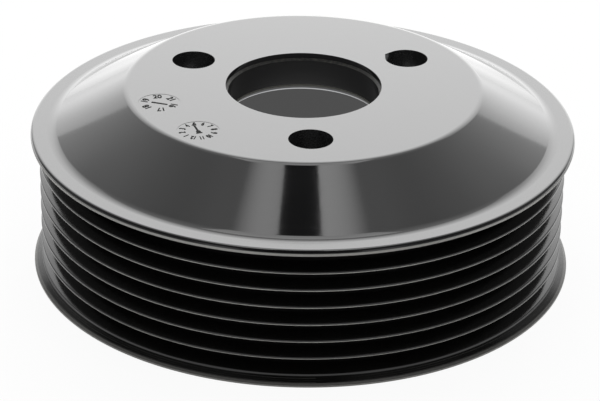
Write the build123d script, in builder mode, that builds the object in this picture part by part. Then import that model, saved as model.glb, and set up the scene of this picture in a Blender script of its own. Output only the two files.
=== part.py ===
from build123d import *
from math import acos, cos, radians, sin, tan
import os

# A power steering pump pulley, moulded in one piece from black phenolic compound.
# It is cup shaped: a flat hub disc, a conical web, and a drum that carries a ribbed belt.
# The origin is on the axis in the plane of the open rim, and the hub face looks up, along +Z.
# All lengths are in millimetres and all angles in degrees.

# Belt grooves, the PK profile of ISO 9981
groove_count = 7
rib_pitch = 3.56
groove_angle = 40.0
rib_diameter = 103.84
rib_land = 0.5
rib_tip_radius = 0.22
groove_root_radius = 0.5
drum_wall = 3.7
drum_draft = 1.0

# Flanges that keep the belt on, one above the grooves and one at the open rim
flange_lip = 1.58
top_flange_to_groove = 3.56
top_flange_edge = 1.1
top_flange_radius = 0.7
top_flange_land = 4.2
top_lip_radius = 0.25
flare_radius = 1.5
rim_to_groove = 3.58
rim_edge_height = 0.35
rim_edge_radius = 0.25
edge_break = 0.15

# Conical web between the hub disc and the drum
hub_rise = 8.4
web_thickness = 4.0
web_foot_radius = 3.5
web_inside_radius = 3.0

# Hub disc, with the bore that centres it on the pump flange
hub_diameter = 69.6
hub_thickness = 8.0
hub_edge_radius = 1.9
hub_inside_radius = 3.0
bore_diameter = 29.6
bore_entry_clearance = 0.45
bore_entry_depth = 1.0
bore_exit_radius = 1.0

# Screw holes through the hub disc
screw_count = 3
screw_circle = 49.2
screw_hole_diameter = 8.5
first_screw_angle = -90.0

# Index nick: a pointed corner in the wall of one screw hole
nick_screw = 1
nick_reach = 0.38
nick_angle = 152.6

# Two round, very shallow seats in the hub face, which hold the raised marks of the date dials
dial_circle = 58.7
dial_diameter = 8.2
dial_depth = 0.04
year_dial_angle = -164.4
month_dial_angle = -135.7

# Radii and heights that follow from the sizes above
rib_radius = rib_diameter / 2
flange_radius = rib_radius + flange_lip
bore_radius = bore_diameter / 2
bore_entry_radius = bore_radius + bore_entry_clearance
hub_radius = hub_diameter / 2
hole_radius = screw_hole_diameter / 2
flank_slope = tan(radians(groove_angle / 2))
groove_half_width = (rib_pitch - rib_land) / 2
groove_point_radius = rib_radius - groove_half_width / flank_slope
root_fill = groove_root_radius * (1 / sin(radians(groove_angle / 2)) - 1)
drum_inner_radius = groove_point_radius + root_fill - drum_wall

groove_heights = [rim_to_groove + i * rib_pitch for i in range(groove_count)]
flange_height = groove_heights[-1] + top_flange_to_groove
hub_height = flange_height + hub_rise
hub_underside = hub_height - hub_thickness
web_foot = flange_radius - top_flange_land

# The inside of the web runs parallel to its outside, and the drum wall widens downwards
web_slope = hub_rise / (web_foot - hub_radius)
web_drop = web_thickness * (1 + web_slope**2) ** 0.5
web_inside_start = hub_radius + (hub_thickness - web_drop) / web_slope
web_inside_end = hub_height - web_drop - web_slope * (drum_inner_radius - hub_radius)
rim_inner_radius = drum_inner_radius + web_inside_end * tan(radians(drum_draft))

# The two sides of the nick leave the hole wall as tangents and meet in a corner
nick_hole_angle = radians(first_screw_angle + nick_screw * 360 / screw_count)
nick_hole = (screw_circle / 2 * cos(nick_hole_angle), screw_circle / 2 * sin(nick_hole_angle))
nick_spread = acos(hole_radius / (hole_radius + nick_reach))
nick_leave = (hole_radius * cos(nick_spread), hole_radius * sin(nick_spread))

# Above the top groove its flank turns into a wider flare, which ends at the flange's edge
flare_foot = groove_heights[-1] + groove_half_width
top_lip_height = flange_height - top_flange_edge


def at_radius(sketch, radius):
    """The corners of a section that lie at one distance from the axis."""
    return sketch.vertices().filter_by(lambda v: abs(v.X - radius) < 1e-4)


def at_corner(sketch, radius, height):
    """The corner of a section that is nearest to one place."""
    return sketch.vertices().sort_by_distance((radius, height, 0))[0]


with BuildPart() as pulley:
    with BuildSketch(Plane.XZ) as section:
        with BuildLine():
            outline = [(bore_entry_radius, hub_height), (hub_radius, hub_height)]
            outline += [(web_foot, flange_height), (flange_radius, flange_height)]
            outline += [(flange_radius, top_lip_height)]
            for height in reversed(groove_heights):
                outline.append((rib_radius, height + groove_half_width))
                outline.append((groove_point_radius, height))
                outline.append((rib_radius, height - groove_half_width))
            outline += [(rib_radius, height - groove_half_width - rib_land)]
            outline += [(flange_radius, rim_edge_height), (flange_radius, 0)]
            outline += [(rim_inner_radius, 0), (drum_inner_radius, web_inside_end)]
            outline += [(web_inside_start, hub_underside), (bore_radius, hub_underside)]
            bevel_foot = hub_height - bore_entry_depth - bore_entry_clearance
            outline += [(bore_radius, bevel_foot)]
            outline += [(bore_entry_radius, hub_height - bore_entry_depth)]
            Polyline(outline, close=True)
        make_face()
        fillet(at_radius(section, groove_point_radius), groove_root_radius)
        fillet(at_corner(section, rib_radius, flare_foot), flare_radius)
        fillet(at_radius(section, rib_radius), rib_tip_radius)
        fillet(at_corner(section, hub_radius, hub_height), hub_edge_radius)
        fillet(at_corner(section, web_foot, flange_height), web_foot_radius)
        fillet(at_corner(section, flange_radius, flange_height), top_flange_radius)
        fillet(at_corner(section, flange_radius, top_lip_height), top_lip_radius)
        fillet(at_corner(section, flange_radius, rim_edge_height), rim_edge_radius)
        fillet(at_corner(section, flange_radius, 0), edge_break)
        fillet(at_corner(section, rim_inner_radius, 0), edge_break)
        fillet(at_corner(section, drum_inner_radius, web_inside_end), web_inside_radius)
        fillet(at_corner(section, web_inside_start, hub_underside), hub_inside_radius)
        fillet(at_corner(section, bore_radius, hub_underside), bore_exit_radius)
    revolve(axis=Axis.Z)

    with BuildSketch(Plane.XY.offset(hub_height)) as screw_holes:
        with PolarLocations(screw_circle / 2, screw_count, start_angle=first_screw_angle):
            Circle(hole_radius)
        with Locations(nick_hole):
            side, offset = nick_leave
            corners = [(0, 0), (side, -offset), (hole_radius + nick_reach, 0), (side, offset)]
            Polygon(corners, rotation=nick_angle, align=None)
    extrude(amount=-hub_thickness, mode=Mode.SUBTRACT)

    with BuildSketch(Plane.XY.offset(hub_height)) as date_dials:
        for dial_angle in (year_dial_angle, month_dial_angle):
            with PolarLocations(dial_circle / 2, 1, start_angle=dial_angle):
                Circle(dial_diameter / 2)
    extrude(amount=-dial_depth, mode=Mode.SUBTRACT)

pulley.part.label = "pulley"

os.makedirs("parts", exist_ok=True)
export_step(pulley.part, "parts/pulley.step")
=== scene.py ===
# A moulded black drive pulley, standing on its open rim on a pale studio floor.
# The scene is in metres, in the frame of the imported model: the axis is Z and the rim stands at zero.
# Sizes of the pulley itself are named in millimetres, and mm turns them into metres.
from math import acos, atan2, ceil, cos, pi, radians, sin, sqrt, tan, tau

import bmesh
import bpy
from mathutils import Matrix, Vector


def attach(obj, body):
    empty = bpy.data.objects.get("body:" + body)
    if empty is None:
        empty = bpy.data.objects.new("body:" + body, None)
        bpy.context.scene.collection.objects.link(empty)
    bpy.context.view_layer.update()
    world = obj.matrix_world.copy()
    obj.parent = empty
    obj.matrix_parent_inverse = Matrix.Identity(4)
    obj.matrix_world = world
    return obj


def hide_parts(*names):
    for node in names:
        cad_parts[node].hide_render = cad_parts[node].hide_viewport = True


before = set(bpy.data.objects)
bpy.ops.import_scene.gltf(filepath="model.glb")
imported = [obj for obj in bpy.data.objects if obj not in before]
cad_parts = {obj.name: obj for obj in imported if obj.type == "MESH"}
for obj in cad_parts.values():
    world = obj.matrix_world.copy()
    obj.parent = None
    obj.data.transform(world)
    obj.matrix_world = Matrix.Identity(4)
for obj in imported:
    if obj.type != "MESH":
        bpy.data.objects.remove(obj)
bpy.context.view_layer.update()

mm = 0.001

# The camera, whose place comes from the rim, the hub edge and the holes in the photograph
camera_place = Vector((-0.02879, -0.46411, 0.24848))
camera_aim = Vector((-0.00031, 0.00006, 0.01140))
camera_roll = radians(0.997)
camera_lens, camera_sensor, camera_near = 156.4, 36.0, 0.01
camera_azimuth = atan2(-camera_place.x, -camera_place.y)

# Belt grooves
groove_count, rib_pitch, groove_angle = 7, 3.56, radians(40.0)
rib_radius, rib_land, rib_tip_radius, groove_root_radius = 51.92, 0.5, 0.22, 0.5
groove_half_width = (rib_pitch - rib_land) / 2

# Flanges above and below the grooves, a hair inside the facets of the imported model
flange_radius = 53.49
top_flange_to_groove, top_flange_edge, top_flange_land = 3.56, 1.1, 4.2
top_flange_radius, top_lip_radius, flare_radius = 0.7, 0.25, 1.5
rim_to_groove, rim_edge_height, rim_edge_radius = 3.58, 0.35, 0.25
rim_foot, edge_break = 0.001, 0.15

# Wall of the drum, and the conical web between the drum and the hub
drum_wall, drum_draft = 3.7, radians(1.0)
web_thickness, web_foot_radius, web_inside_radius = 4.0, 3.5, 3.0

# Hub disc, its bore with the wider entry, and the screw holes, one of which has a nick
hub_radius, hub_height, hub_underside = 34.8, 36.899, 28.9
hub_edge_radius, hub_inside_radius = 1.9, 3.0
bore_radius, bore_exit_radius = 14.8, 1.0
entry_radius, entry_depth, entry_edge_radius = 15.25, 1.0, 0.1
screw_count, screw_circle, hole_radius = 3, 49.2, 4.25
first_screw_angle = radians(-90.0)
nick_screw, nick_reach, nick_angle = 1, 0.38, radians(152.6)

# The two date dials, sunk in the hub face at the same distance from the axis
dial_circle, dial_radius, dial_depth = 29.35, 4.1, 0.04
year_dial_angle, month_dial_angle = radians(-164.4), radians(-135.7)
mark_boldness, mark_sink = 0.05, 0.01

# The numbers of each dial, as inputs of the number dial's tree
year_numbers = {
    "First Number": 16, "Count": 6, "First Angle": radians(-23.1),
    "Circle Radius": 2.86 * mm, "Number Size": 2.0 * mm, "Number Width": 0.86,
}
month_numbers = {
    "First Number": 1, "Count": 12, "First Angle": radians(222.1),
    "Circle Radius": 3.03 * mm, "Number Size": 1.75 * mm, "Number Width": 0.62,
}

# The pointer of each dial, from the dial's centre, with half widths at distances from its foot
year_bar = {"foot": (1.57, -0.73), "tip": (-1.48, 0.43), "widths": [(0.0, 0.2), (3.26, 0.23)]}
arrow_knob = [(0.0, 0.6), (0.28, 0.6), (0.42, 0.36), (0.7, 0.46), (1.0, 0.42)]
arrow_shaft, arrow_head = [(1.3, 0.19), (3.7, 0.19)], [(3.55, 0.5), (4.45, 0.0)]
month_arrow = {
    "foot": (0.24, -1.05), "tip": (-0.96, 3.24), "widths": arrow_knob + arrow_shaft + arrow_head,
}

# How finely the surfaces are cut, and which points are welded and which folds stay sharp
turned_segments, hole_points, dial_points = 348, 96, 72
arc_step, fewest_steps, support_gap, long_run = radians(15.0), 3, 0.08, 1.0
body_weld, body_fold = 0.002, radians(32.0)
mark_weld, mark_fold = 0.0005, radians(20.0)

# Moulded skin: its shade of black, its roughness and its index of refraction
skin_shade, skin_polish, skin_index = 0.008, 0.07, 1.8
skin_hue, olive_hue = (1.0, 1.01, 1.04), (1.0, 1.0, 0.75)

# Depths below the hub face of the matt ledge in the bore's entry and of the screw holes' walls
ledge_top, ledge_foot, hole_wall_top = 0.9, 1.9, 0.2
# Heights above the hub's underside of the holes' walls, the bore's olive line and the painted highlight
# on its lower edge
hole_wall_foot, olive_line_foot, olive_line_top, exit_highlight_top, exit_highlight_full = 0.4, 1.08, 1.32, 0.58, 0.5
# Reach of the holes' walls from their centre, and the painted highlight round the nick's facet
hole_wall_reach = 4.6
nick_highlight_reach, nick_highlight_core, nick_highlight_depth = 1.3, 0.5, 0.6

# Turned skin, which lies outside one radius and below one height
drum_skin, turned_top = 46.5, 28.0
turned_shade, turned_polish, turned_index = 0.004, 0.16, 1.5
turned_hue = (1.0, 0.985, 0.94)

# Heights between which the ribs' lower edges and the top flange's lip carry a painted highlight, and how
# pale it is
rib_highlight_span, lip_highlight_span = (4.8, 25.5), (27.32, 27.78)
rib_highlight, lip_highlight = 0.55, 0.55
# Heights of the lower flange's slope, of the painted highlight line above its rim and of the rim itself
rim_slope, rim_highlight_span, rim_face = (0.45, 1.5), (0.5, 0.68), (0.46, 0.38)
# Pitch of the painted reflection stripes on the lower flange's slope
stripe_pitch = 0.26

# The studio: overhead strips with a dark slot between them, a roof panel, a scrim and a lit sweep
roof_height = 1.0
strip_front, strip_back, strip_reach = -0.074, 0.096, 0.255
left_strip = {"slot": 0.083, "radiance": 1.84, "falloff": 2.1}
right_strip = {"slot": 0.075, "radiance": 2.24, "falloff": 1.5}
panel_back, panel_radiance = 0.48, 1.15
scrim_foot, scrim_top = Vector((0.007, 2.0, 0.0)), Vector((0.007, 1.066, 1.373))
scrim_width, scrim_radiance = 2.075, 1.75
sweep_front, sweep_back, sweep_width = 0.07, 4.0, 2.16
sweep_height, sweep_radiance = 0.001, 1.16

# The floor: half its width, the white of its paper, and the share of its look that is plain white
floor_reach, paper_white, floor_glow = 4.0, 0.92, 0.93
# Gain of the room for the light that falls on a dull surface
room_fill = 1.5


class Field:
    """A number that varies over a surface; arithmetic on it adds Math nodes to its tree."""

    def __init__(self, wiring, socket):
        self.wiring = wiring
        self.socket = socket

    def math(self, operation, *values):
        """Adds a Math node that takes this value first."""
        sockets = dict(enumerate((self, *values)))
        return self.wiring.add("ShaderNodeMath", {"operation": operation}, sockets)

    def __add__(self, other):
        return self.math("ADD", other)

    __radd__ = __add__

    def __mul__(self, other):
        return self.math("MULTIPLY", other)

    __rmul__ = __mul__

    def __sub__(self, other):
        return self.math("SUBTRACT", other)

    def __rsub__(self, other):
        return self * -1.0 + other

    def __truediv__(self, other):
        return self.math("DIVIDE", other)

    def __pow__(self, other):
        return self.math("POWER", other)

    def __abs__(self):
        return self.math("ABSOLUTE")

    def root(self):
        """Its square root."""
        return self.math("SQRT")

    def above(self, level):
        """How far it lies above a level, or 0 below it."""
        return (self - level).math("MAXIMUM", 0.0)

    def ramp(self, start, end, first, last):
        """Runs smoothly from one level to another between two values, and stays level outside."""
        if start > end:
            start, end, first, last = end, start, last, first
        settings = {"interpolation_type": "SMOOTHSTEP"}
        sockets = {"Value": self, "From Min": start, "From Max": end, "To Min": first, "To Max": last}
        return self.wiring.add("ShaderNodeMapRange", settings, sockets)

    def step(self, start, end):
        """Rises smoothly from 0 to 1 between two values, or falls if start is the larger."""
        return self.ramp(start, end, 0.0, 1.0)

    def band(self, start, end, soft):
        """Is 1 between two values and falls to 0 over a soft margin outside them."""
        return self.step(start - soft, start) * self.step(end + soft, end)


class Wiring:
    """Adds nodes to one node tree."""

    def __init__(self, tree):
        self.tree = tree

    def node(self, kind, settings, sockets):
        """Adds a node, sets its settings first and then its sockets, and returns it."""
        node = self.tree.nodes.new(kind)
        for name, value in settings.items():
            setattr(node, name, value)
        self.feed(node, sockets)
        return node

    def feed(self, node, sockets):
        """Gives each named socket of a node its value, or a link to a field."""
        for name, value in sockets.items():
            if isinstance(value, Field):
                self.tree.links.new(value.socket, node.inputs[name])
            else:
                node.inputs[name].default_value = value

    def add(self, kind, settings, sockets, output=0):
        """Adds a node and returns one of its outputs."""
        return Field(self, self.node(kind, settings, sockets).outputs[output])

    def split(self, vector):
        """The X, Y and Z of a vector."""
        return [self.add("ShaderNodeSeparateXYZ", {}, {"Vector": vector}, axis) for axis in "XYZ"]

    def merge(self, x=0.0, y=0.0, z=0.0):
        """A vector from its X, Y and Z."""
        return self.add("ShaderNodeCombineXYZ", {}, {"X": x, "Y": y, "Z": z})

    def vector(self, operation, sockets, output=0):
        """Works on vectors or colours, with a Vector Math node."""
        return self.add("ShaderNodeVectorMath", {"operation": operation}, sockets, output)

    def noise(self, place, scale, detail=2.0, roughness=0.5):
        """Noise from 0 to 1 at a place."""
        sockets = {"Vector": place, "Scale": scale, "Detail": detail, "Roughness": roughness}
        return self.add("ShaderNodeTexNoise", {"noise_dimensions": "3D"}, sockets)


def fresh_tree(owner):
    """Empties the node tree of a material, world or lamp and wraps it."""
    owner.use_nodes = True
    owner.node_tree.nodes.clear()
    return Wiring(owner.node_tree)


# Finishes
def pulley_fields(wiring):
    """A point's position in metres, radius and height in millimetres, and turn about the axis."""
    position = wiring.add("ShaderNodeTexCoord", {}, {}, "Object")
    x, y, z = wiring.split(position)
    return position, (x * x + y * y).root() / mm, z / mm, x.math("ARCTAN2", y)


def tool_rings(wiring, radius, height, turn, drift, scale):
    """Fine rings left by turning, which run round the axis and change slowly on their way."""
    return wiring.noise(wiring.merge(radius, height, turn * drift), scale, 2.0, 0.55)


def close_material(wiring, tint, roughness, relief, strength, depth, others):
    """Ends a material: one shader, with a bump of a given strength and depth in metres."""
    bump = wiring.add("ShaderNodeBump", {}, {"Strength": strength, "Distance": depth, "Height": relief})
    sockets = {"Base Color": tint, "Roughness": roughness, "Normal": bump, **others}
    shader = wiring.add("ShaderNodeBsdfPrincipled", {}, sockets)
    wiring.node("ShaderNodeOutputMaterial", {}, {"Surface": shader})


def nick_place():
    """The tip of the nick, in metres, a little below the hub face."""
    hole_angle = first_screw_angle + tau * nick_screw / screw_count
    across = screw_circle / 2 * Vector((cos(hole_angle), sin(hole_angle), 0.0))
    reach = (hole_radius + nick_reach) * Vector((cos(nick_angle), sin(nick_angle), 0.0))
    return (across + reach + Vector((0.0, 0.0, hub_height - nick_highlight_depth))) * mm


def black_phenolic():
    """Glossy moulded phenolic: deep black, a faint orange peel, and the turned mould's fine rings."""
    material = bpy.data.materials.new("black_phenolic_gloss")
    wiring = fresh_tree(material)
    position, radius, height, turn = pulley_fields(wiring)

    # Slow clouds of polish, the filler's grain and specks, and the rings of the mould
    clouds = wiring.noise(position, 55.0)
    grain = wiring.noise(position, 900.0, 3.0, 0.6)
    specks = wiring.noise(position, 5200.0, 1.0).step(0.62, 0.74)
    rings = tool_rings(wiring, radius, height, turn, 0.6, 2.6)

    # The ledge inside the bore's entry is turned after moulding, so it stays matt and olive
    ledge = radius.band(bore_radius + 0.02, entry_radius - 0.02, 0.02)
    ledge = ledge * height.band(hub_height - ledge_foot, hub_height - ledge_top, 0.05)
    grit = wiring.noise(position, 2400.0, 2.0, 0.7)

    # The walls of the bore and of the screw holes are duller than the face
    bore_wall = radius.step(bore_radius + 0.07, bore_radius + 0.05)
    hole_circle = screw_circle / 2
    hole_wall = radius.band(hole_circle - hole_wall_reach, hole_circle + hole_wall_reach, 0.05)
    hole_wall = hole_wall * height.band(hub_underside + hole_wall_foot, hub_height - hole_wall_top, 0.1)

    # Near its lower end the bore has a thin olive line and a pale, metallic painted highlight on its
    # edge; the nick's facet gets a painted highlight
    olive_line = bore_wall * height.band(hub_underside + olive_line_foot, hub_underside + olive_line_top, 0.08)
    painted_exit_highlight = radius.band(bore_radius + 0.07, bore_radius + bore_exit_radius + 0.1, 0.02)
    painted_exit_highlight = painted_exit_highlight * height.step(hub_underside + exit_highlight_top, hub_underside + exit_highlight_full)
    from_nick = wiring.vector("DISTANCE", {0: position, 1: nick_place()}, "Value") / mm
    nick_highlight = from_nick.step(nick_highlight_reach, nick_highlight_core) * hole_wall

    # Painted highlights on the bore's lower edge and on the nick's facet are added to the shade
    shade = skin_shade * (clouds * 0.5 + 0.75) + specks * 0.006 + painted_exit_highlight * 0.46 + nick_highlight * 0.3
    shade = shade + hole_wall * grain * 0.02
    olive = ledge * grit.step(0.35, 0.8) * 0.09 + olive_line * 0.1
    black = wiring.vector("SCALE", {0: skin_hue, "Scale": shade})
    tint = wiring.vector("ADD", {0: black, 1: wiring.vector("SCALE", {0: olive_hue, "Scale": olive})})

    roughness = skin_polish + (clouds - 0.5) * 0.05 + (rings - 0.5) * 0.05 + (grain - 0.5) * 0.02
    roughness = roughness + ledge * 0.45 + bore_wall * 0.12 + hole_wall * 0.2 + olive_line * 0.3
    relief = (grain - 0.5) * 0.9 + (rings - 0.5) * 0.5 + ledge * (grit - 0.5) * 10.0
    others = {"Metallic": painted_exit_highlight, "IOR": skin_index}
    close_material(wiring, tint, roughness.math("MAXIMUM", 0.03), relief, 0.35, 0.000004, others)
    return material


def turned_phenolic():
    """The belt grooves and the flange edges: duller than the moulded skin, with pale painted highlights
    on the ribs' edges and the lip.
    """
    material = bpy.data.materials.new("turned_phenolic")
    wiring = fresh_tree(material)
    position, radius, height, turn = pulley_fields(wiring)
    clouds = wiring.noise(position, 90.0)
    rings = tool_rings(wiring, radius, height, turn, 0.4, 5.2)
    streaks = wiring.noise(wiring.merge(turn * 50.0, height * 0.12, radius * 0.12), 16.0, 2.0, 0.6)

    # Each rib's lower edge and the lip of the top flange are painted pale, a painted highlight
    lowest_edge = rim_to_groove + groove_half_width
    from_edge = ((height - lowest_edge) / rib_pitch + groove_count).math("FRACT")
    crest = from_edge.step(0.045, 0.02) + from_edge.step(0.955, 0.975)
    crest = crest * radius.step(rib_radius - rib_tip_radius, rib_radius - 0.1)
    crest = crest * height.band(*rib_highlight_span, 0.1)
    flange_edge = radius.step(flange_radius - 0.25, flange_radius - 0.05)
    lip = height.band(*lip_highlight_span, 0.2) * flange_edge
    painted_edge_highlight = (crest + lip * lip_highlight) * (clouds * 0.5 + streaks * 0.5 + 0.45)

    # Painted reflections: fine pale stripes on the lower flange's slope, and a turned grey rim painted
    # paler, with a painted highlight line above it
    reflection_stripes = (height * (tau / stripe_pitch) + rings * 2.0).math("SINE").step(0.3, 0.9) * 0.05
    slope = height.band(*rim_slope, 0.05) * (rings.step(0.4, 0.7) * reflection_stripes + 0.002)
    rim = height.band(*rim_highlight_span, 0.08) * (streaks * 0.08 + 0.06)
    rim = rim + height.step(*rim_face) * (streaks * 0.2 + 0.14)
    rim = rim * radius.step(flange_radius - 0.9, flange_radius - 0.6)

    # The painted highlights on the ribs' edges and the lip are added to the shade here
    shade = turned_shade * (clouds + 0.5) + streaks.step(0.5, 0.8) * 0.004 + painted_edge_highlight * rib_highlight
    # The lower flange's painted reflections and painted highlight line are added to the shade
    shade = shade + slope + rim + flange_edge * 0.01
    tint = wiring.vector("SCALE", {0: turned_hue, "Scale": shade})
    roughness = turned_polish + (rings - 0.5) * 0.2 + (streaks - 0.5) * 0.12
    roughness = roughness + painted_edge_highlight * 0.3 + flange_edge * 0.25
    relief = (rings - 0.5) * 1.2 + (streaks - 0.5) * 0.8
    close_material(wiring, tint, roughness, relief, 0.5, 0.000006, {"IOR": turned_index})
    return material


def matt_mark(name):
    """The raised numbers of a dial come from an eroded insert, so they are matt."""
    material = bpy.data.materials.new(name)
    wiring = fresh_tree(material)
    position = wiring.add("ShaderNodeTexCoord", {}, {}, "Object")
    grit = wiring.noise(position, 9000.0)
    close_material(wiring, grit * 0.012 + 0.004, grit * 0.3 + 0.7, grit, 0.6, 0.00001, {"IOR": 1.35})
    return material


# Outlines, in millimetres
def rounded(corners):
    """An open outline with each corner rounded; a support point keeps each straight run flat."""
    points = []
    for before, here, after in zip(corners, corners[1:], corners[2:]):
        corner, size = Vector(here[:2]), here[2]
        to_before, to_after = Vector(before[:2]) - corner, Vector(after[:2]) - corner
        if size == 0:
            points.append(corner)
            continue
        one, other = to_before.normalized(), to_after.normalized()
        half = one.angle(other) / 2
        middle = corner + (one + other).normalized() * (size / sin(half))
        first = corner + one * (size / tan(half)) - middle
        last = corner + other * (size / tan(half)) - middle
        turn = (pi - 2 * half) * (1 if first.cross(last) > 0 else -1)
        steps = max(fewest_steps, ceil(abs(turn) / arc_step))
        arc = [middle + Matrix.Rotation(turn * i / steps, 2) @ first for i in range(steps + 1)]
        if to_before.length > long_run:
            points.append(arc[0] + one * support_gap)
        points += arc
        if to_after.length > long_run:
            points.append(arc[-1] + other * support_gap)
    return points


def body_corners():
    """Corners of the outside and the inside, from the flat of the hub face to the hub's underside."""
    point_radius = rib_radius - groove_half_width / tan(groove_angle / 2)
    wall_radius = point_radius + groove_root_radius * (1 / sin(groove_angle / 2) - 1) - drum_wall
    heights = [rim_to_groove + rib_pitch * i for i in range(groove_count)]
    flange_height = heights[-1] + top_flange_to_groove
    web_foot = flange_radius - top_flange_land
    slope = (hub_height - flange_height) / (web_foot - hub_radius)
    drop = web_thickness * sqrt(1 + slope * slope)
    inside_start = hub_radius + (hub_height - hub_underside - drop) / slope
    inside_end = hub_height - drop - slope * (wall_radius - hub_radius)
    rim_inner_radius = wall_radius + inside_end * tan(drum_draft)

    corners = [(bore_radius, hub_height, 0), (hub_radius, hub_height, hub_edge_radius)]
    corners += [(web_foot, flange_height, web_foot_radius)]
    corners += [(flange_radius, flange_height, top_flange_radius)]
    corners += [(flange_radius, flange_height - top_flange_edge, top_lip_radius)]
    for height in reversed(heights):
        upper_radius = rib_tip_radius if height < heights[-1] else flare_radius
        corners.append((rib_radius, height + groove_half_width, upper_radius))
        corners.append((point_radius, height, groove_root_radius))
        corners.append((rib_radius, height - groove_half_width, rib_tip_radius))
    corners += [(rib_radius, heights[0] - groove_half_width - rib_land, rib_tip_radius)]
    corners += [(flange_radius, rim_edge_height, rim_edge_radius)]
    corners += [(flange_radius, rim_foot, edge_break), (rim_inner_radius, rim_foot, edge_break)]
    corners += [(wall_radius, inside_end, web_inside_radius)]
    corners += [(inside_start, hub_underside, hub_inside_radius)]
    return corners + [(bore_radius, hub_underside, bore_exit_radius)]


def bore_corners():
    """Corners of the bore, from the hub's underside to the hub face."""
    corners = [(flange_radius, hub_underside, 0), (bore_radius, hub_underside, bore_exit_radius)]
    corners += [(bore_radius, hub_height - entry_depth - entry_radius + bore_radius, 0)]
    corners += [(entry_radius, hub_height - entry_depth, 0)]
    corners += [(entry_radius, hub_height, entry_edge_radius)]
    return corners + [(flange_radius, hub_height, 0)]


def hole_outline(index):
    """A screw hole seen from above; one hole has a nick, whose sides leave the wall as tangents."""
    hole_angle = first_screw_angle + tau * index / screw_count
    centre = screw_circle / 2 * Vector((cos(hole_angle), sin(hole_angle)))
    nicked = index == nick_screw
    gap = acos(hole_radius / (hole_radius + nick_reach)) if nicked else pi / hole_points
    sweep = (tau - 2 * gap) / (hole_points - 1)
    angles = [nick_angle + gap + sweep * i for i in range(hole_points)]
    points = [centre + hole_radius * Vector((cos(angle), sin(angle))) for angle in angles]
    if nicked:
        points.append(centre + (hole_radius + nick_reach) * Vector((cos(nick_angle), sin(nick_angle))))
    return points


def line_mesh(chains, closed):
    """A mesh of edges only, one run of edges per chain, in metres."""
    points, edges = [], []
    for chain in chains:
        first = len(points)
        points += [(point[0] * mm, point[1] * mm, 0.0) for point in chain]
        edges += [(i, i + 1) for i in range(first, len(points) - 1)]
        if closed:
            edges.append((len(points) - 1, first))
    mesh = bpy.data.meshes.new("lines")
    mesh.from_pydata(points, edges, [])
    return mesh


# Geometry Nodes trees, each with named inputs
def geometry_tree(name, inputs):
    """Starts a Geometry Nodes tree with named inputs; returns its wiring and its input fields."""
    tree = bpy.data.node_groups.new(name, "GeometryNodeTree")
    tree.interface.new_socket("Geometry", in_out="OUTPUT", socket_type="NodeSocketGeometry")
    tree.interface.new_socket("Geometry", in_out="INPUT", socket_type="NodeSocketGeometry")
    for label, kind in inputs.items():
        tree.interface.new_socket(label, in_out="INPUT", socket_type=f"NodeSocket{kind}")
    wiring = Wiring(tree)
    start = wiring.node("NodeGroupInput", {}, {})
    return wiring, {socket.name: Field(wiring, socket) for socket in start.outputs if socket.name}


def join(wiring, *parts):
    """Joins several geometries into one."""
    joined = wiring.node("GeometryNodeJoinGeometry", {}, {})
    for part in parts:
        wiring.feed(joined, {"Geometry": part})
    return Field(wiring, joined.outputs["Geometry"])


def close_tree(wiring, geometry, material):
    """Ends a tree: plain geometry with its material."""
    plain = wiring.add("GeometryNodeRealizeInstances", {}, {"Geometry": geometry})
    painted = wiring.add("GeometryNodeSetMaterial", {}, {"Geometry": plain, "Material": material})
    wiring.node("NodeGroupOutput", {}, {"Geometry": painted})
    return wiring.tree


def grow(tree, start, values):
    """Runs a Geometry Nodes tree on a start mesh and returns its result as a plain mesh."""
    carrier = bpy.data.objects.new("carrier", start)
    bpy.context.scene.collection.objects.link(carrier)
    modifier = carrier.modifiers.new("tree", "NODES")
    modifier.node_group = tree
    for item in tree.interface.items_tree:
        if item.in_out == "INPUT" and item.name in values:
            modifier[item.identifier] = values[item.name]
    depsgraph = bpy.context.evaluated_depsgraph_get()
    mesh = bpy.data.meshes.new_from_object(carrier.evaluated_get(depsgraph))
    bpy.data.objects.remove(carrier)
    bpy.data.meshes.remove(start)
    return mesh


def lathe_tree():
    """Turns the outlines it is given, X as the radius and Y as the height, round the axis."""
    inputs = {"Segments": "Int", "Path Radius": "Float", "Material": "Material"}
    wiring, given = geometry_tree("lathe", inputs)
    outline = wiring.add("GeometryNodeMeshToCurve", {}, {"Mesh": given["Geometry"]})

    # A profile lies on its path with Y down, so it is turned over and starts at the path's radius
    shift = wiring.merge(x=given["Path Radius"] * -1.0)
    sockets = {"Geometry": outline, "Translation": shift, "Scale": (1.0, -1.0, 1.0)}
    outline = wiring.add("GeometryNodeTransform", {}, sockets)
    sockets = {"Resolution": given["Segments"], "Radius": given["Path Radius"]}
    circle = wiring.add("GeometryNodeCurvePrimitiveCircle", {}, sockets)
    turned = wiring.add("GeometryNodeCurveToMesh", {}, {"Curve": circle, "Profile Curve": outline})
    return close_tree(wiring, turned, given["Material"])


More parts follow.
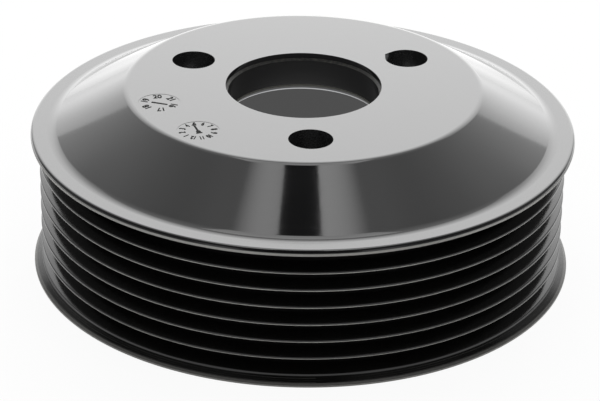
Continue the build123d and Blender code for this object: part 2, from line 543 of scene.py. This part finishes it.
def plate_tree():
    """The flat hub face and underside round the holes it is given, their walls and the dial seats."""
    floats = ["Face Edge", "Face Bore", "Back Edge", "Back Bore", "Height", "Thickness"]
    floats += ["Dial Circle", "Dial Radius", "Dial Depth", "Year Angle", "Month Angle"]
    inputs = {"Segments": "Int", "Dial Segments": "Int", **{name: "Float" for name in floats}}
    wiring, given = geometry_tree("drilled_plate", {**inputs, "Material": "Material"})

    def ring(radius, points="Segments"):
        """A circle round the axis."""
        sockets = {"Resolution": given[points], "Radius": given[radius]}
        return wiring.add("GeometryNodeCurvePrimitiveCircle", {}, sockets)

    def place(geometry, **changes):
        """Moves or turns a geometry."""
        return wiring.add("GeometryNodeTransform", {}, {"Geometry": geometry, **changes})

    def wall(curves, height, depth):
        """An upright wall that hangs down from curves at a height."""
        edges = wiring.add("GeometryNodeCurveToMesh", {}, {"Curve": curves})
        raised = place(edges, Translation=wiring.merge(z=height))
        sockets = {"Mesh": raised, "Offset": wiring.merge(z=depth * -1.0)}
        return wiring.add("GeometryNodeExtrudeMesh", {"mode": "EDGES"}, sockets)

    def fill(curves, height):
        """A flat face at a height between closed curves."""
        flat = wiring.add("GeometryNodeFillCurve", {"mode": "TRIANGLES"}, {"Curve": curves})
        return place(flat, Translation=wiring.merge(z=height))

    def seat(angle):
        """The edge of a dial's seat, moved out from the axis and swung to its place."""
        out = wiring.merge(x=given["Dial Circle"])
        edge = place(ring("Dial Radius", "Dial Segments"), Translation=out)
        return place(edge, Rotation=wiring.merge(z=given[angle]))

    holes = wiring.add("GeometryNodeMeshToCurve", {}, {"Mesh": given["Geometry"]})
    seats = join(wiring, seat("Year Angle"), seat("Month Angle"))
    height, thickness, depth = given["Height"], given["Thickness"], given["Dial Depth"]
    face = fill(join(wiring, ring("Face Edge"), ring("Face Bore"), holes, seats), height)
    back = fill(join(wiring, ring("Back Edge"), ring("Back Bore"), holes), height - thickness)
    floors = fill(seats, height - depth)
    walls = join(wiring, wall(holes, height, thickness), wall(seats, height, depth))
    return close_tree(wiring, join(wiring, face, back, floors, walls), given["Material"])


def number_dial_tree():
    """Numbers counted up clockwise round a circle, and the pointer it is given, all raised alike."""
    floats = ["First Angle", "Circle Radius", "Number Size", "Number Width", "Boldness", "Relief"]
    inputs = {"First Number": "Int", "Count": "Int", **{name: "Float" for name in floats}}
    wiring, given = geometry_tree("number_dial", {**inputs, "Centre": "Vector", "Material": "Material"})
    loop_start = wiring.node("GeometryNodeRepeatInput", {}, {})
    loop_end = wiring.node("GeometryNodeRepeatOutput", {}, {})
    loop_start.pair_with_output(loop_end)
    pointer = wiring.add("GeometryNodeMeshToCurve", {}, {"Mesh": given["Geometry"]})
    wiring.feed(loop_start, {"Iterations": given["Count"], "Geometry": pointer})
    index = Field(wiring, loop_start.outputs["Iteration"])

    # One number as outlines, narrowed
    number = {"Value": index + given["First Number"]}
    words = wiring.add("FunctionNodeValueToString", {"data_type": "INT"}, number)
    settings = {"align_x": "CENTER", "align_y": "MIDDLE"}
    sockets = {"String": words, "Size": given["Number Size"]}
    strings = wiring.add("GeometryNodeStringToCurves", settings, sockets)
    outlines = wiring.add("GeometryNodeRealizeInstances", {}, {"Geometry": strings})
    sockets = {"Geometry": outlines, "Scale": wiring.merge(given["Number Width"], 1.0, 1.0)}
    outlines = wiring.add("GeometryNodeTransform", {}, sockets)

    # Its outlines are thickened along their normals
    outlines = wiring.add("GeometryNodeResampleCurve", {"mode": "EVALUATED"}, {"Curve": outlines})
    tangent = wiring.add("GeometryNodeInputTangent", {}, {})
    aside = wiring.vector("CROSS_PRODUCT", {0: tangent, 1: (0.0, 0.0, 1.0)})
    aside = wiring.vector("SCALE", {0: aside, "Scale": given["Boldness"]})
    outlines = wiring.add("GeometryNodeSetPosition", {}, {"Geometry": outlines, "Offset": aside})

    # It is put on the circle and swung to its place
    sockets = {"Geometry": outlines, "Translation": wiring.merge(y=given["Circle Radius"])}
    outlines = wiring.add("GeometryNodeTransform", {}, sockets)
    angle = given["First Angle"] - index / given["Count"] * tau - pi / 2
    sockets = {"Geometry": outlines, "Rotation": wiring.merge(z=angle)}
    outlines = wiring.add("GeometryNodeTransform", {}, sockets)
    joined = join(wiring, Field(wiring, loop_start.outputs["Geometry"]), outlines)
    wiring.feed(loop_end, {"Geometry": joined})

    # All of them are filled and raised from the floor of the seat
    outlines = Field(wiring, loop_end.outputs["Geometry"])
    flat = wiring.add("GeometryNodeFillCurve", {"mode": "TRIANGLES"}, {"Curve": outlines})
    flat = wiring.add("GeometryNodeTransform", {}, {"Geometry": flat, "Translation": given["Centre"]})
    sockets = {"Mesh": flat, "Offset Scale": given["Relief"], "Individual": False}
    raised = wiring.add("GeometryNodeExtrudeMesh", {"mode": "FACES"}, sockets)
    underside = wiring.add("GeometryNodeFlipFaces", {}, {"Mesh": flat})
    return close_tree(wiring, join(wiring, underside, raised), given["Material"])


# The pieces
def tidy_surface(mesh, weld, sharp):
    """Welds a mesh, turns its faces outwards and marks the edges that stay sharp."""
    work = bmesh.new()
    work.from_mesh(mesh)
    bmesh.ops.remove_doubles(work, verts=work.verts, dist=weld * mm)
    bmesh.ops.recalc_face_normals(work, faces=work.faces)
    for face in work.faces:
        face.smooth = True
    for edge in work.edges:
        edge.smooth = len(edge.link_faces) == 2 and edge.calc_face_angle(pi) < sharp
    work.to_mesh(mesh)
    work.free()


def add_piece(name, mesh, node=None):
    """Adds a mesh as a piece of the pulley, in place of a CAD node if one is named."""
    piece = bpy.data.objects.new(name, mesh)
    bpy.context.scene.collection.objects.link(piece)
    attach(piece, "root")
    if node:
        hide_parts(node)
    return piece


def build_pulley():
    """The pulley's own surface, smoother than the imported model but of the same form."""
    skin = black_phenolic()
    body, bore = rounded(body_corners()), rounded(bore_corners())
    values = {"Segments": turned_segments, "Path Radius": bore_radius * mm, "Material": skin}
    surface = grow(lathe_tree(), line_mesh([body, bore], False), values)
    values = {
        "Segments": turned_segments, "Dial Segments": dial_points, "Material": skin,
        "Face Edge": body[0].x * mm, "Face Bore": bore[-1].x * mm,
        "Back Edge": body[-1].x * mm, "Back Bore": bore[0].x * mm,
        "Height": hub_height * mm, "Thickness": (hub_height - hub_underside) * mm,
        "Dial Circle": dial_circle * mm, "Dial Radius": dial_radius * mm, "Dial Depth": dial_depth * mm,
        "Year Angle": year_dial_angle, "Month Angle": month_dial_angle,
    }
    holes = [hole_outline(i) for i in range(screw_count)]
    plate = grow(plate_tree(), line_mesh(holes, True), values)
    work = bmesh.new()
    work.from_mesh(surface)
    work.from_mesh(plate)
    work.to_mesh(surface)
    work.free()
    bpy.data.meshes.remove(plate)
    tidy_surface(surface, body_weld, body_fold)

    # The outside of the drum, below the round of its top edge, is the turned part
    surface.materials.clear()
    surface.materials.append(skin)
    surface.materials.append(turned_phenolic())
    for face in surface.polygons:
        turned = face.center.xy.length > drum_skin * mm and face.center.z < turned_top * mm
        face.material_index = 1 if turned else 0
    return add_piece("pulley_surface", surface, "pulley")


def pointer_outline(foot, tip, widths):
    """A pointer seen from above, with its half widths laid off on both sides of its middle line."""
    foot, tip = Vector(foot), Vector(tip)
    along = (tip - foot).normalized()
    aside = Vector((-along.y, along.x))
    left = [foot + along * place + aside * half for place, half in widths]
    right = [foot + along * place - aside * half for place, half in reversed(widths) if half > 0]
    return left + right


def build_dial(name, angle, numbers, pointer):
    """The raised numbers and the pointer of one date dial, on the floor of its seat."""
    centre = dial_circle * Vector((cos(angle), sin(angle)))
    floor = hub_height - dial_depth - mark_sink
    values = {
        **numbers, "Centre": (centre.x * mm, centre.y * mm, floor * mm),
        "Relief": (dial_depth + mark_sink) * mm, "Boldness": mark_boldness * mm,
        "Material": matt_mark(name + "_marks"),
    }
    outline = pointer_outline(**pointer)
    marks = grow(number_dial_tree(), line_mesh([outline], True), values)
    tidy_surface(marks, mark_weld, mark_fold)
    return add_piece(name, marks)


def build_dials():
    """The date marks of the moulding: a year dial with a bar, and a month dial with an arrow."""
    build_dial("year_dial", year_dial_angle, year_numbers, year_bar)
    build_dial("month_dial", month_dial_angle, month_numbers, month_arrow)


# The studio
def softbox(name, centre, aim, width, depth, radiance, shade=None):
    """A rectangular lamp whose face has the given radiance; shade dims it over its two sides.

    Its place turns with the camera, so that the studio's +Y points away from the camera.
    """
    lamp = bpy.data.lights.new(name, "AREA")
    lamp.shape = "RECTANGLE"
    lamp.size = width
    lamp.size_y = depth
    lamp.energy = radiance * pi * width * depth
    wiring = fresh_tree(lamp)
    u, v, _ = wiring.split(wiring.add("ShaderNodeNewGeometry", {}, {}, "Parametric"))
    glow = wiring.add("ShaderNodeEmission", {}, {"Strength": shade(u, v) if shade else 1.0})
    wiring.node("ShaderNodeOutputLight", {}, {"Surface": glow})
    holder = bpy.data.objects.new(name, lamp)
    bpy.context.scene.collection.objects.link(holder)
    facing = (Vector(aim) - Vector(centre)).to_track_quat("-Z", "Y").to_matrix().to_4x4()
    studio_turn = Matrix.Rotation(-camera_azimuth, 4, "Z")
    holder.matrix_world = studio_turn @ Matrix.Translation(centre) @ facing


def hang_strips():
    """Two overhead strips, each brightest beside the dark slot between them."""
    for name, side, strip in (("overhead_left", -1, left_strip), ("overhead_right", 1, right_strip)):
        inner, falloff = strip["slot"], strip["falloff"]
        middle = (side * (inner + strip_reach) / 2, (strip_front + strip_back) / 2)

        def outward(u, v, side=side, falloff=falloff):
            """Dims the strip from its side at the slot outwards."""
            across = u if side > 0 else 1.0 - u
            return 1.0 - across ** falloff

        width, depth = strip_reach - inner, strip_back - strip_front
        softbox(name, (*middle, roof_height), (*middle, 0.0), width, depth, strip["radiance"], outward)


def light_studio():
    """The strips, a roof panel behind them, a scrim that leans to the camera, and a lit floor."""
    hang_strips()
    middle = (strip_back + panel_back) / 2
    centre, aim = (0.0, middle, roof_height), (0.0, middle, 0.0)
    softbox("overhead_back", centre, aim, 2 * strip_reach, panel_back - strip_back, panel_radiance)

    def scrim_fade(u, v):
        """Dims the scrim towards its sides, at its very edge, at its foot and at its top."""
        across = abs(u - 0.48) * 2.0
        sides = (1.0 - across * across * 0.45) * across.ramp(0.84, 0.98, 1.0, 0.8)
        foot = v.ramp(-0.2, 0.4, 0.75, 1.0) * v.ramp(0.0, 0.14, 0.55, 1.0)
        return sides * foot * v.ramp(0.66, 1.0, 1.0, 0.5)

    lean = scrim_top - scrim_foot
    centre = (scrim_foot + scrim_top) / 2
    aim = centre + Vector((0.0, -lean.z, lean.y))
    softbox("back_scrim", centre, aim, scrim_width, lean.length, scrim_radiance, scrim_fade)

    def sweep_fade(u, v):
        """Dims the sweep close to the pulley and in its far half."""
        return v.ramp(0.015, 0.07, 0.55, 1.0) * v.ramp(0.46, 0.52, 1.0, 0.5)

    middle = (sweep_front + sweep_back) / 2
    centre, aim = (0.0, middle, sweep_height), (0.0, middle, 1.0)
    softbox("back_sweep", centre, aim, sweep_width, sweep_back - sweep_front, sweep_radiance, sweep_fade)


def background_rays(wiring):
    """Three fields, each 1 for one kind of ray that sees the white background."""
    return [wiring.add("ShaderNodeLightPath", {}, {}, f"Is {kind} Ray")
            for kind in ("Camera", "Glossy", "Transmission")]


def fill_world():
    """Plain white for the camera, the room for what the gloss shows, and a soft fill for the rest."""
    world = bpy.data.worlds.new("studio")
    bpy.context.scene.world = world
    wiring = fresh_tree(world)
    camera, glossy, transmission = background_rays(wiring)
    direction = wiring.add("ShaderNodeTexCoord", {}, {}, "Generated")
    turned = {"Vector": direction, "Rotation": (0.0, 0.0, camera_azimuth)}
    x, y, z = wiring.split(wiring.add("ShaderNodeMapping", {}, turned))
    aside = abs(x)

    # The room brightens away from the camera, most of all behind the scrim and to its right
    behind_scrim = aside.step(0.45, 0.3) * 0.17 + y.above(0.35) * (x * 0.2 + 0.5)
    room = behind_scrim + y.above(0.16) * 0.97 + 0.6

    # It is dark over the slot between the strips and on to the camera's side
    slot = (aside + y.math("MINIMUM", 0.0) * 0.3).step(0.2, 0.07) * y.step(0.166, 0.086)
    room = room * (1.0 - slot * 0.97)

    # Gloss also shows it dark high above the camera and far out at both sides
    over_camera = (y - aside * 0.5).step(-0.05, -0.12) * z.step(0.45, 0.7)
    far_sides = aside.step(0.56, 0.66) * y.step(0.74, 0.62)
    seen = room * (1.0 - over_camera * 0.9) * (1.0 - far_sides * 0.7)

    strength = camera + (glossy + transmission) * seen
    strength = strength + (1.0 - camera - glossy - transmission) * room * room_fill
    light = wiring.add("ShaderNodeBackground", {}, {"Strength": strength})
    wiring.node("ShaderNodeOutputWorld", {}, {"Surface": light})


def lay_floor():
    """A pale floor that reads as white and keeps a faint shadow."""
    mesh = bpy.data.meshes.new("floor")
    ends = ((-1, -1), (1, -1), (1, 1), (-1, 1))
    mesh.from_pydata([(x * floor_reach, y * floor_reach, 0.0) for x, y in ends], [], [(0, 1, 2, 3)])
    floor = bpy.data.objects.new("floor", mesh)
    bpy.context.scene.collection.objects.link(floor)
    material = bpy.data.materials.new("floor_paper")
    wiring = fresh_tree(material)
    camera, glossy, transmission = background_rays(wiring)
    colour = (paper_white, paper_white, paper_white, 1.0)
    paper = wiring.add("ShaderNodeBsdfDiffuse", {}, {"Color": colour})
    glow = wiring.add("ShaderNodeEmission", {}, {"Strength": 1.0})
    sockets = {0: (camera + glossy + transmission) * floor_glow, 1: paper, 2: glow}
    surface = wiring.add("ShaderNodeMixShader", {}, sockets)
    wiring.node("ShaderNodeOutputMaterial", {}, {"Surface": surface})
    mesh.materials.append(material)


def set_camera():
    """The photograph's camera."""
    camera = bpy.data.cameras.new("camera")
    camera.lens = camera_lens
    camera.sensor_width = camera_sensor
    camera.sensor_fit = "HORIZONTAL"
    camera.clip_start = camera_near
    holder = bpy.data.objects.new("camera", camera)
    bpy.context.scene.collection.objects.link(holder)
    facing = (camera_aim - camera_place).to_track_quat("-Z", "Y").to_matrix().to_4x4()
    holder.matrix_world = Matrix.Translation(camera_place) @ facing @ Matrix.Rotation(camera_roll, 4, "Z")
    bpy.context.scene.camera = holder


build_pulley()
build_dials()
light_studio()
fill_world()
lay_floor()
set_camera()
bpy.context.scene.view_settings.view_transform = "Standard"
